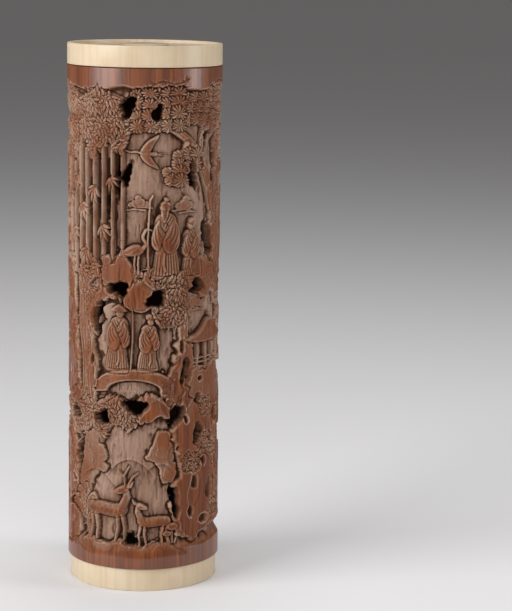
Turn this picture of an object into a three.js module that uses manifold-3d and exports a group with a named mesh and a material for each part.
// Openwork bamboo incense holder: a carved bamboo tube standing in a turned ivory base ring, closed by a
// lift-off ivory lid. A joss stick stands in the socket inside, and its smoke leaves through the carving.
// Millimetres, +Z up. The origin is the centre of the foot. The carving is drawn on the unrolled tube, with
// angles in degrees from the front (-Y) towards +X and heights in steps up from the tube's lower end.
import * as THREE from 'three';
import { mergeVertices } from 'three/addons/utils/BufferGeometryUtils.js';
import Module from 'manifold-3d';

const wasm = await Module();
wasm.setup();

// Driving dimensions
const TUBE_LENGTH = 199;
const TUBE_RADIUS = 31;
const WAIST_STEP = 0.5;
const FOOT_STEP = 0.2;
const WALL = 6.5;
const GROUND_DEPTH = 2.8;
const ROOT_STEP = 0.8;
const PLAIN_FOOT = 8.5;
const PLAIN_HEAD = 7.5;
const BAND_SLOPE = 2.5;
const LID_RING_STEP = 0.15;
const LID_RING_HEIGHT = 8.7;
const BASE_RING_STEP = 1.2;
const BASE_RING_HEIGHT = 9.4;
const RING_LIP = 2.2;
const SPIGOT_HEIGHT = 5;
const SPIGOT_WALL = 2.2;
const PANEL_THICKNESS = 2.2;
const LID_RECESS = 1.2;
const BASE_RECESS = 0.9;
const EDGE_ROUND = 0.4;
const BUTTON_RADIUS = 9.5;
const BUTTON_RISE = 0.9;
const STEM_RADIUS = 3.4;
const STEM_DROP = 5;
const STICK_BORE_RADIUS = 1.4;
const STICK_BORE_DEPTH = 12;
const BORE_POINT = 0.8;
const SOCKET_RADIUS = 3.2;
const SOCKET_FOOT_RADIUS = 6.5;
const SOCKET_FOOT_HEIGHT = 2;
const SOCKET_HEIGHT = 20;
const TENON_STEP = 0.6;
const FIT_GAP = 0.3;
const TUBE_SIDES = 36;
const RING_SIDES = 36;
const BUTTON_SIDES = 30;
const SOCKET_SIDES = 20;

const TUBE_BORE = TUBE_RADIUS - WALL;
const ROOT_DEPTH = GROUND_DEPTH + ROOT_STEP;
const TUBE_BOTTOM = BASE_RING_HEIGHT;
const TUBE_TOP = TUBE_BOTTOM + TUBE_LENGTH;
const LID_RING_RADIUS = TUBE_RADIUS - LID_RING_STEP;
const LID_TOP = TUBE_TOP + LID_RING_HEIGHT;
const BASE_RING_RADIUS = TUBE_RADIUS - BASE_RING_STEP;

const bamboo = new THREE.MeshStandardMaterial({ color: 0x8a4f33, roughness: 0.45, metalness: 0 });
const ivory = new THREE.MeshStandardMaterial({ color: 0xe2cba6, roughness: 0.35, metalness: 0 });

const holder = new THREE.Group();

function add(name, geometry, material) {
  const mesh = new THREE.Mesh(geometry, material);
  mesh.name = name;
  holder.add(mesh);
}

// Solids

// A turned piece from a closed half profile of [radius, height] points.
function turned(profile, steps) {
  const points = profile.map(([radius, height]) => new THREE.Vector2(radius, height));
  if (profile[0][0] > 0) points.push(points[0].clone());
  return new THREE.LatheGeometry(points, steps).rotateX(Math.PI / 2);
}

function manifoldFrom(positions, triangles) {
  const build = (triVerts) => new wasm.Manifold(new wasm.Mesh({
    numProp: 3,
    vertProperties: Float32Array.from(positions),
    triVerts: Uint32Array.from(triVerts),
  }));
  const solid = build(triangles);
  if (solid.volume() > 0) return solid;
  return build(triangles.slice().reverse());
}

function solidOf(geometry) {
  const bare = geometry.clone();
  bare.deleteAttribute('normal');
  bare.deleteAttribute('uv');
  const welded = mergeVertices(bare, 1e-4);
  const index = welded.index.array;
  const triangles = [];
  for (let i = 0; i < index.length; i += 3) {
    const [a, b, c] = [index[i], index[i + 1], index[i + 2]];
    if (a !== b && b !== c && c !== a) triangles.push(a, b, c);
  }
  return manifoldFrom(welded.attributes.position.array, triangles);
}

function join(solids) {
  return wasm.Manifold.union(solids);
}

function geometryOf(solid) {
  const mesh = solid.getMesh();
  const geometry = new THREE.BufferGeometry();
  geometry.setAttribute('position', new THREE.BufferAttribute(mesh.vertProperties, 3));
  geometry.setIndex(new THREE.BufferAttribute(mesh.triVerts, 1));
  geometry.computeVertexNormals();
  return geometry;
}

// A solid through stacked copies of one contour, closed at either end.
function stacked(contour, rings) {
  const flat = contour.map(([x, y]) => new THREE.Vector2(x, y));
  const caps = THREE.ShapeUtils.triangulateShape(flat, []);
  const clockwise = THREE.ShapeUtils.isClockWise(flat);
  const count = contour.length;
  const last = (rings.length - 1) * count;
  const triangles = [];
  for (const [a, b, c] of caps) triangles.push(a, c, b, last + a, last + b, last + c);
  for (let level = 0; level < last; level += count) {
    for (let i = 0; i < count; i += 1) {
      const next = (i + 1) % count;
      const [a, b] = clockwise ? [level + next, level + i] : [level + i, level + next];
      triangles.push(a, b, count + b, a, count + b, count + a);
    }
  }
  return manifoldFrom(rings.flat().flatMap((point) => point.toArray()), triangles);
}

// The drawing is 199 steps tall, and 31 of its steps stand for the tube's radius.
const STEP_UP = TUBE_LENGTH / 199;
const DEGREES_PER_STEP = THREE.MathUtils.radToDeg(1 / 31);
const OVAL_POINTS = 7;

// The uncarved radius at a share of the tube's length: the tube draws in a little to its waist.
function skinRadius(share) {
  const fromWaist = 2 * share - 1;
  const endStep = fromWaist < 0 ? FOOT_STEP : 0;
  return TUBE_RADIUS - WAIST_STEP + (WAIST_STEP - endStep) * Math.abs(fromWaist);
}

// A point of the carving at a depth below the tube's skin.
function carved(angle, height, depth) {
  const turn = THREE.MathUtils.degToRad(angle);
  const radius = skinRadius((height * STEP_UP) / TUBE_LENGTH) - depth;
  return new THREE.Vector3(radius * Math.sin(turn), -radius * Math.cos(turn), TUBE_BOTTOM + height * STEP_UP);
}

// The raised layer of the carving, from its root up to a face at a depth below the skin
function raisedShell(face) {
  const profile = [[0, face], [0.5, face], [1, face], [1, ROOT_DEPTH], [0.5, ROOT_DEPTH], [0, ROOT_DEPTH]];
  return solidOf(turned(profile.map(([share, depth]) => (
    [skinRadius(share) - depth, TUBE_BOTTOM + share * TUBE_LENGTH])), TUBE_SIDES));
}

// The tube with a plain band at either end and the ground of the carving sunk between them
function bandedShell() {
  const outer = [
    [0, 0], [PLAIN_FOOT, 0], [PLAIN_FOOT + BAND_SLOPE, GROUND_DEPTH], [TUBE_LENGTH / 2, GROUND_DEPTH],
    [TUBE_LENGTH - PLAIN_HEAD - BAND_SLOPE, GROUND_DEPTH], [TUBE_LENGTH - PLAIN_HEAD, 0], [TUBE_LENGTH, 0],
  ].map(([height, depth]) => [skinRadius(height / TUBE_LENGTH) - depth, TUBE_BOTTOM + height]);
  return solidOf(turned([[TUBE_BORE, TUBE_BOTTOM], ...outer, [TUBE_BORE, TUBE_TOP]], TUBE_SIDES));
}

// An uneven oval outline
function oval(angle, height, halfAngle, halfHeight, lean = 0) {
  const points = [];
  for (let i = 0; i < OVAL_POINTS; i += 1) {
    const turn = (2 * Math.PI * i) / OVAL_POINTS;
    const wobble = 1 + 0.16 * Math.sin(3 * turn + angle);
    points.push([
      angle + wobble * halfAngle * Math.cos(turn) + lean * halfHeight * Math.sin(turn),
      height + wobble * halfHeight * Math.sin(turn),
    ]);
  }
  return points;
}

// Points of a motif drawn one step tall, placed on the tube at a size. Facing -1 turns it round.
function placed([angle, height, size, facing = 1], points) {
  return points.map(([x, y]) => [angle + x * size * facing * DEGREES_PER_STEP, height + y * size]);
}

function middleOf(outline) {
  return [0, 1].map((k) => outline.reduce((sum, point) => sum + point[k], 0) / outline.length);
}

// A block over an outline, its sides all square to the tube at the outline's middle
function block(outline, inner, outer) {
  const turn = THREE.MathUtils.degToRad(middleOf(outline)[0]);
  const inwards = new THREE.Vector3(-Math.sin(turn), Math.cos(turn), 0);
  return stacked(outline, [inner, outer].map((depth) => (
    outline.map(([angle, height]) => carved(angle, height, 0).addScaledVector(inwards, depth)))));
}

// A block that passes right through the wall
function opening(outline) {
  return block(outline, 2 * WALL, -WALL);
}

// A layer over an outline. Its face follows the tube at a share of the ground's depth: 0 is the skin.
function layer(outline, share) {
  return opening(outline).intersect(raisedShell(share * GROUND_DEPTH));
}

// A plate over a narrow outline, flat across
function plate(outline, share) {
  return block(outline, ROOT_DEPTH, share * GROUND_DEPTH);
}

// A boss over an outline, its sides leaning in to its face
function boss(outline, share) {
  const [angle, height] = middleOf(outline);
  return stacked(outline, [[1, ROOT_DEPTH], [0.72, share * GROUND_DEPTH]].map(([scale, depth]) => (
    outline.map((point) => carved(
      angle + (point[0] - angle) * scale, height + (point[1] - height) * scale, depth)))));
}

// A ridged limb along a line of points, half its width given at its start
function limb(line, half, share, taper = 0.8) {
  const face = share * GROUND_DEPTH;
  const section = [[-1, ROOT_DEPTH], [-0.5, face], [0.5, face], [1, ROOT_DEPTH]];
  return stacked(section, line.map(([angle, height], i) => {
    const before = line[Math.max(0, i - 1)];
    const after = line[Math.min(line.length - 1, i + 1)];
    const along = new THREE.Vector2((after[0] - before[0]) / DEGREES_PER_STEP, after[1] - before[1]);
    along.normalize();
    const width = half * (1 - ((1 - taper) * i) / (line.length - 1));
    return section.map(([side, depth]) => carved(
      angle + side * width * along.y * DEGREES_PER_STEP, height - side * width * along.x, depth));
  }));
}

// Rock masses that stand forward. Each has the depth of its face below the skin, as a share of the ground's.
const rocks = [
  [0.07, [[-98, 118], [-102, 150], [-94, 170], [-82, 164], [-84, 134], [-78, 118]]],
  [0.13, [[62, 122], [60, 142], [69, 154], [69, 172], [84, 177], [98, 152], [96, 126], [78, 116]]],
  [0.1, [[-50, 121], [-35, 122], [-27, 129], [-17, 129], [-8, 119], [10, 117], [4, 108], [-46, 111]]],
  [0.12, [[20, 115], [50, 126], [71, 118], [62, 110], [46, 109]]],
  [0.03, [[-98, 64], [-100, 92], [-94, 116], [-82, 124], [-68, 118], [-64, 94], [-59, 68]]],
  [0.06, [[-50, 118], [-41, 121], [-34, 112], [-43, 91], [-37, 79], [-43, 66], [-52, 70], [-47, 92]]],
  [0.04, [[18, 112], [32, 116], [40, 106], [36, 96], [43, 84], [34, 68], [14, 72], [26, 88]]],
  [0.08, [[-70, 64], [-56, 73], [-40, 67], [0, 71], [24, 62], [-28, 60], [-60, 55]]],
  [0.02, [[28, 10], [22, 26], [29, 40], [22, 54], [42, 78], [70, 77], [96, 68], [102, 42], [94, 15]]],
  [0.05, [[-98, 10], [-100, 36], [-92, 62], [-72, 56], [-60, 42], [-66, 28], [-57, 14], [-76, 8]]],
  [0.05, [[92, 80], [91, 104], [112, 112], [146, 110], [164, 106], [150, 95], [120, 92], [104, 82]]],
  [0.06, [[176, 118], [178, 150], [190, 170], [206, 160], [208, 130], [198, 100], [184, 95]]],
  [0.02, [[-156, 68], [-158, 98], [-138, 103], [-100, 103], [-100, 77], [-132, 70]]],
  [0.07, [[-160, 18], [-162, 44], [-153, 60], [-144, 48], [-146, 28], [-142, 14]]],
  [0.18, [[38, 72], [44, 81], [68, 83], [90, 73], [64, 66]]],
  [0.22, [[-56, 7], [-40, 11], [-8, 9], [24, 8], [30, 3], [-28, 2]]],
  [0.36, [[118, 70], [128, 81], [144, 87], [164, 85], [192, 78], [190, 68], [150, 69]]],
  [0.15, [[-154, 108], [-150, 120], [-142, 125], [-124, 121], [-104, 115], [-108, 101], [-134, 101]]],
  [0.24, [[-147, 14], [-136, 21], [-112, 21], [-102, 15], [-122, 9]]],
  [0.16, [[104, 12], [101, 44], [106, 64], [98, 78], [113, 83], [114, 30], [122, 14]]],
  [0.28, [[110, 9], [124, 20], [160, 17], [190, 24], [204, 14], [196, 8], [150, 7]]],
  [0.4, [[114, 50], [119, 64], [132, 66], [140, 57], [130, 51]]],
];

// Broad-leaved foliage over the rocks
const leafMasses = [
  [[-96, 163], [-96, 189], [-40, 191], [-10, 185], [-19, 165], [-30, 168], [-42, 162], [-54, 168]],
  [[-59, 112], [-56, 124], [-40, 124], [-37, 113], [-46, 108]],
  [[7, 101], [8, 114], [28, 118], [39, 108], [30, 98]],
  [[-66, 52], [-60, 65], [-34, 66], [-20, 70], [-7, 62], [-24, 58], [-36, 50], [-50, 54]],
  [[-96, 55], [-92, 68], [-78, 69], [-73, 56], [-86, 52]],
  [[-132, 57], [-126, 69], [-100, 69], [-98, 56], [-116, 54]],
  [[118, 168], [118, 178], [134, 179], [146, 173], [130, 161]],
  [[148, 166], [148, 178], [170, 176], [172, 163], [158, 165]],
];

// Pads of pine needles, as [angle, height, half width, half height]
const pinePads = [
  [90, 183, 9, 7], [66, 185, 9, 6], [42, 183, 9, 6.5], [18, 182, 10, 8], [0, 181, 8, 7.5], [85, 160, 8, 9],
  [34, 163, 7, 4], [18, 159, 5, 3], [112, 186, 10, 5], [136, 185, 10, 5.5], [160, 186, 10, 5],
  [184, 184, 10, 5.5], [-152, 185, 10, 5.5], [-126, 186, 10, 5], [184, 87, 9, 5], [140, 76, 9, 4],
];

// Trunks and branches, as [half width at the root, line of points]
const trunks = [
  [4.2, [[80, 108], [70, 122], [73, 134], [62, 148], [52, 160], [36, 170], [4, 176]]],
  [2, [[69, 140], [79, 152], [90, 156]]],
  [1.8, [[50, 161], [48, 171], [56, 182]]],
  [3, [[-68, 10], [-64, 28], [-68, 42], [-57, 50], [-44, 58]]],
  [2.8, [[96, 116], [100, 134], [96, 150], [104, 168], [118, 178]]],
  [2.6, [[204, 20], [200, 44], [206, 64], [194, 84]]],
  [2.4, [[-100, 14], [-98, 32], [-104, 48], [-116, 60]]],
  [1.6, [[122, 58], [126, 68], [134, 74], [146, 74]]],
];

// Bamboo stalks, as [angle, lower end, upper end]; the front grove is pierced between its stalks.
const stalks = [
  [-73, 118, 174], [-65, 118, 174], [-57, 118, 174], [-49, 118, 174], [-41, 118, 174], [-33, 118, 174],
  [-25, 126, 174], [-17, 126, 174], [124, 140, 172], [129, 140, 172], [153, 140, 172], [158, 140, 172],
];
const groveSlots = [
  [-69, 130, 165], [-61, 126, 163], [-53, 130, 167], [-45, 134, 160], [-37, 142, 168], [-29, 140, 162],
  [-21, 148, 166],
];
const SLOT_HALF_ANGLE = 2.1;

// Pierced openings, as [angle, height, half width in degrees, half height, lean]
const piercings = [
  [-14, 158, 3.2, 4.6, 0.5], [-13, 184, 5, 3.8, 0.5], [10, 182, 4, 3, 0.6], [42, 157, 4, 6, -0.5],
  [56, 171, 4.6, 3.6, 0.3], [59, 131, 3.6, 7, -0.2], [-20, 113, 8, 2.8, -0.3],
  [10, 109, 7, 3.4, 0.4], [-39, 101, 2.6, 6, 0.2], [33, 80, 3.4, 5, 0.5], [46, 113, 6, 2.8, 0.2],
  [-66, 62, 7, 3.6, -0.4], [-34, 61, 6, 3, 0.4], [-6, 66, 9, 2.8, -0.3], [26, 62, 6, 4.2, 0.5],
  [-59, 46, 3.4, 6, 0.3], [-10, 11.5, 5.5, 2.4, 0.1], [25, 27, 3, 6, -0.2], [46, 54, 4.4, 3.8, 0.4],
  [60, 30, 3.4, 4.4, 0.3], [-79, 92, 3.2, 5.5, 0.2], [-85, 34, 3.6, 5, -0.3],
  [88, 118, 5, 4, 0.3], [82, 140, 3.6, 6, 0.2], [78, 56, 4, 3.4, 0.3], [-89, 142, 3, 6, 0.2],
  [147, 104, 5, 2.8, 0.2], [168, 112, 4.5, 6, -0.3], [186, 140, 3.6, 6, 0.2], [-160, 168, 4, 4, 0.4],
  [-172, 84, 5, 5, 0.3], [-100, 122, 4, 7, 0.3], [-112, 92, 5, 3.4, 0.2], [-147, 84, 3.6, 4.6, 0.3],
  [-152, 38, 3.4, 6, 0.4], [106, 30, 3.4, 5, 0.2], [118, 181, 5, 3.4, 0.3],
  [150, 182, 5, 3, 0.2], [-116, 180, 6, 3.4, 0.4], [-94, 66, 5, 4, 0.2], [102, 74, 4, 5, 0.2],
  [-166, 122, 4, 5, -0.2],
];

// Motifs are drawn one step tall and placed by [angle, height, size, facing].
const STANDING_FIGURE = [
  [-0.2, 0], [-0.17, 0.4], [-0.19, 0.62], [-0.07, 0.82], [-0.07, 0.98], [0.07, 0.98], [0.07, 0.82],
  [0.18, 0.64], [0.15, 0.4], [0.21, 0],
];
const SEATED_FIGURE = [
  [-0.31, 0], [-0.3, 0.18], [-0.17, 0.5], [-0.06, 0.66], [-0.07, 0.8], [0, 0.88], [0.08, 0.8], [0.07, 0.66],
  [0.2, 0.48], [0.36, 0.12], [0.28, 0],
];
const DEER = [
  [-0.38, 0.58], [-0.37, 0], [-0.28, 0], [-0.24, 0.38], [0.16, 0.38], [0.2, 0], [0.29, 0], [0.36, 0.5],
  [0.42, 0.88], [0.28, 0.94], [0.14, 0.8], [0.28, 0.76], [0.22, 0.62],
];
const STANDING_CRANE = [
  [-0.4, 0.4], [-0.04, 0.38], [-0.04, 0], [0.04, 0], [0.06, 0.38], [0.18, 0.48], [0.28, 0.62], [0.19, 0.78],
  [0.24, 0.86], [0.42, 0.87], [0.2, 0.96], [0.09, 0.78], [0.16, 0.64], [0, 0.6],
];

const FLYING_CRANE = [
  [-0.7, -0.04], [-0.16, 0.06], [-0.44, 0.6], [0.1, 0.28], [0.22, 0.07], [0.74, 0.14], [0.2, -0.06],
  [0.08, -0.24], [-0.44, -0.46], [-0.16, -0.06],
];
const PLANTAIN = [
  [-0.7, 0.4], [-0.3, 0.85], [0, 1.1], [0.5, 0.95], [0.9, 0.5], [0.05, 0],
];

// An open pavilion: a roof with turned-up eaves on four posts
function pavilion(place) {
  const floor = [[-0.46, 0], [0.46, 0], [0.46, 0.07], [-0.46, 0.07]];
  const posts = [-0.34, -0.12, 0.12, 0.34];
  const roof = [
    [-0.64, 0.54], [0, 0.45], [0.64, 0.54], [0.34, 0.63], [0.12, 0.8], [-0.12, 0.8], [-0.34, 0.63],
  ];
  return [
    plate(placed(place, floor), 0.19),
    ...posts.map((x) => limb(placed(place, [[x, 0.03], [x, 0.52]]), 0.03 * place[2], 0.22, 1)),
    layer(placed(place, roof), 0.09),
  ];
}

function archedBridge(place) {
  const turns = [0, 0.2, 0.4, 0.6, 0.8, 1].map((share) => share * Math.PI);
  const outline = [
    ...turns.map((turn) => [-0.5 * Math.cos(turn), 0.08 + 0.22 * Math.sin(turn)]),
    ...turns.map((turn) => [0.36 * Math.cos(turn), 0.16 * Math.sin(turn)]),
  ];
  return [layer(placed(place, outline), 0.16)];
}

function riverBoat(place) {
  const hull = [[-0.62, 0.17], [-0.36, 0.01], [0.36, 0.01], [0.62, 0.18], [0.3, 0.11], [-0.3, 0.1]];
  const cabin = [[-0.28, 0.08], [-0.2, 0.28], [0.18, 0.28], [0.22, 0.08]];
  return [plate(placed(place, hull), 0.14), plate(placed(place, cabin), 0.21)];
}

const FALL_LEFT_BANK = [[-64, 118], [-63, 98], [-58, 84], [-57, 66]];
const FALL_RIGHT_BANK = [[-49, 118], [-46, 100], [-45, 86], [-40, 66]];

// Water that falls between two banks, each given by as many points, parted into three strands
function waterfall(left, right) {
  const strands = [0.2, 0.5, 0.8].map((share) => left.map(([angle, height], i) => [
    angle + share * (right[i][0] - angle), height + share * (right[i][1] - height)]));
  return [
    layer([...left, ...right.slice().reverse()], 0.6),
    ...strands.map((line) => limb(line, 1.3, 0.36, 1)),
  ];
}

// Silhouettes raised on the grounds, as [outline, angle, height, size, facing]
const silhouettes = [
  [STANDING_CRANE, -6, 119, 19], [STANDING_FIGURE, 17, 117, 31, -1],
  [STANDING_FIGURE, 39, 117, 23, -1], [STANDING_FIGURE, -22, 80, 26], [STANDING_FIGURE, 3, 80.5, 22],
  [DEER, -30, 11, 25], [DEER, 8, 9.5, 19, -1], [SEATED_FIGURE, 112, 117, 23],
  [STANDING_FIGURE, 164, 117, 25, -1], [STANDING_CRANE, -127, 121, 20], [DEER, -124, 20, 18],
];

const farSilhouettes = [
  [FLYING_CRANE, 1, 166, 12, -1], [FLYING_CRANE, -132, 158, 17], [FLYING_CRANE, -116, 146, 13, -1],
  [PLANTAIN, -50, 16, 15, -1],
];

function carvedTube() {
  const raised = [
    ...rocks.map(([share, outline]) => layer(outline, share)),
    ...leafMasses.map((outline) => layer(outline, 0.17)),
    ...pinePads.map(([angle, height, halfWidth, halfHeight]) => (
      boss(oval(angle, height, halfWidth * DEGREES_PER_STEP, halfHeight), 0.15))),
    ...trunks.map(([half, line]) => limb(line, half, 0.06, 0.35)),
    ...stalks.map(([angle, low, high]) => limb([[angle, low], [angle, high]], 1, 0.14, 0.85)),
    ...silhouettes.map(([outline, ...place]) => plate(placed(place, outline), 0.16)),
    ...farSilhouettes.map(([outline, ...place]) => plate(placed(place, outline), 0.45)),
    ...pavilion([62, 79, 25]),
    ...pavilion([138, 118, 26]),
    ...archedBridge([-8, 71, 34]),
    ...riverBoat([156, 42, 24]),
    ...waterfall(FALL_LEFT_BANK, FALL_RIGHT_BANK),
  ];
  const openings = [
    ...piercings.map((piercing) => opening(oval(...piercing))),
    ...groveSlots.map(([angle, low, high]) => (
      opening(oval(angle, (low + high) / 2, SLOT_HALF_ANGLE, (high - low) / 2)))),
  ];
  return geometryOf(join([bandedShell(), ...raised]).subtract(join(openings)));
}

add('bamboo_tube', carvedTube(), bamboo);

// Lid: turned ring with a spigot, an inset panel, and a button whose stem steadies the stick's tip
const spigotRadius = TUBE_BORE - FIT_GAP;
const spigotBore = spigotRadius - SPIGOT_WALL;
const lidSeat = TUBE_TOP + FIT_GAP;
const lidRebate = LID_RING_RADIUS - RING_LIP;
const lidPanelTop = LID_TOP - LID_RECESS;
const lidLedge = lidPanelTop - PANEL_THICKNESS - FIT_GAP;
add('lid_ring', turned([
  [spigotBore, TUBE_TOP - SPIGOT_HEIGHT], [spigotRadius, TUBE_TOP - SPIGOT_HEIGHT], [spigotRadius, lidSeat],
  [LID_RING_RADIUS, lidSeat], [LID_RING_RADIUS, LID_TOP - EDGE_ROUND],
  [LID_RING_RADIUS - EDGE_ROUND, LID_TOP], [lidRebate + EDGE_ROUND, LID_TOP],
  [lidRebate, LID_TOP - EDGE_ROUND], [lidRebate, lidLedge], [spigotBore, lidLedge],
], RING_SIDES), ivory);
const stemHole = STEM_RADIUS + FIT_GAP;
add('lid_panel', turned([
  [stemHole, lidPanelTop - PANEL_THICKNESS], [lidRebate - FIT_GAP, lidPanelTop - PANEL_THICKNESS],
  [lidRebate - FIT_GAP, lidPanelTop], [stemHole, lidPanelTop],
], RING_SIDES), ivory);
const buttonBottom = lidPanelTop + FIT_GAP;
const stemBottom = lidPanelTop - PANEL_THICKNESS - STEM_DROP;
add('lid_button', turned([
  [0, stemBottom + STEM_DROP], [STICK_BORE_RADIUS, stemBottom + STEM_DROP - BORE_POINT],
  [STICK_BORE_RADIUS, stemBottom], [STEM_RADIUS, stemBottom], [STEM_RADIUS, buttonBottom],
  [BUTTON_RADIUS, buttonBottom], [BUTTON_RADIUS - EDGE_ROUND, buttonBottom + BUTTON_RISE * 0.5],
  [BUTTON_RADIUS * 0.6, buttonBottom + BUTTON_RISE * 0.9], [0, buttonBottom + BUTTON_RISE],
], BUTTON_SIDES), ivory);

// Base: turned ring with a spigot, an inset panel, and the socket that holds the stick upright
const baseRebate = BASE_RING_RADIUS - RING_LIP;
const baseSeat = BASE_RING_HEIGHT - FIT_GAP;
const basePanelTop = BASE_RECESS + PANEL_THICKNESS;
add('base_ring', turned([
  [spigotBore, basePanelTop + FIT_GAP], [baseRebate, basePanelTop + FIT_GAP], [baseRebate, EDGE_ROUND],
  [baseRebate + EDGE_ROUND, 0], [BASE_RING_RADIUS - EDGE_ROUND, 0], [BASE_RING_RADIUS, EDGE_ROUND],
  [BASE_RING_RADIUS, baseSeat], [spigotRadius, baseSeat], [spigotRadius, TUBE_BOTTOM + SPIGOT_HEIGHT],
  [spigotBore, TUBE_BOTTOM + SPIGOT_HEIGHT],
], RING_SIDES), ivory);
const tenonRadius = SOCKET_RADIUS - TENON_STEP;
add('base_panel', turned([
  [tenonRadius + FIT_GAP, BASE_RECESS], [baseRebate - FIT_GAP, BASE_RECESS],
  [baseRebate - FIT_GAP, basePanelTop], [tenonRadius + FIT_GAP, basePanelTop],
], RING_SIDES), ivory);
const socketFoot = basePanelTop + FIT_GAP;
const socketTop = socketFoot + SOCKET_HEIGHT;
add('stick_socket', turned([
  [0, BASE_RECESS], [tenonRadius, BASE_RECESS], [tenonRadius, socketFoot], [SOCKET_FOOT_RADIUS, socketFoot],
  [SOCKET_FOOT_RADIUS, socketFoot + SOCKET_FOOT_HEIGHT * 0.5],
  [SOCKET_RADIUS * 1.25, socketFoot + SOCKET_FOOT_HEIGHT],
  [SOCKET_RADIUS * 0.88, socketFoot + SOCKET_HEIGHT * 0.5], [SOCKET_RADIUS, socketTop - 2 * EDGE_ROUND],
  [SOCKET_RADIUS - EDGE_ROUND, socketTop], [STICK_BORE_RADIUS, socketTop],
  [STICK_BORE_RADIUS, socketTop - STICK_BORE_DEPTH], [0, socketTop - STICK_BORE_DEPTH - BORE_POINT],
], SOCKET_SIDES), ivory);

export default holder;
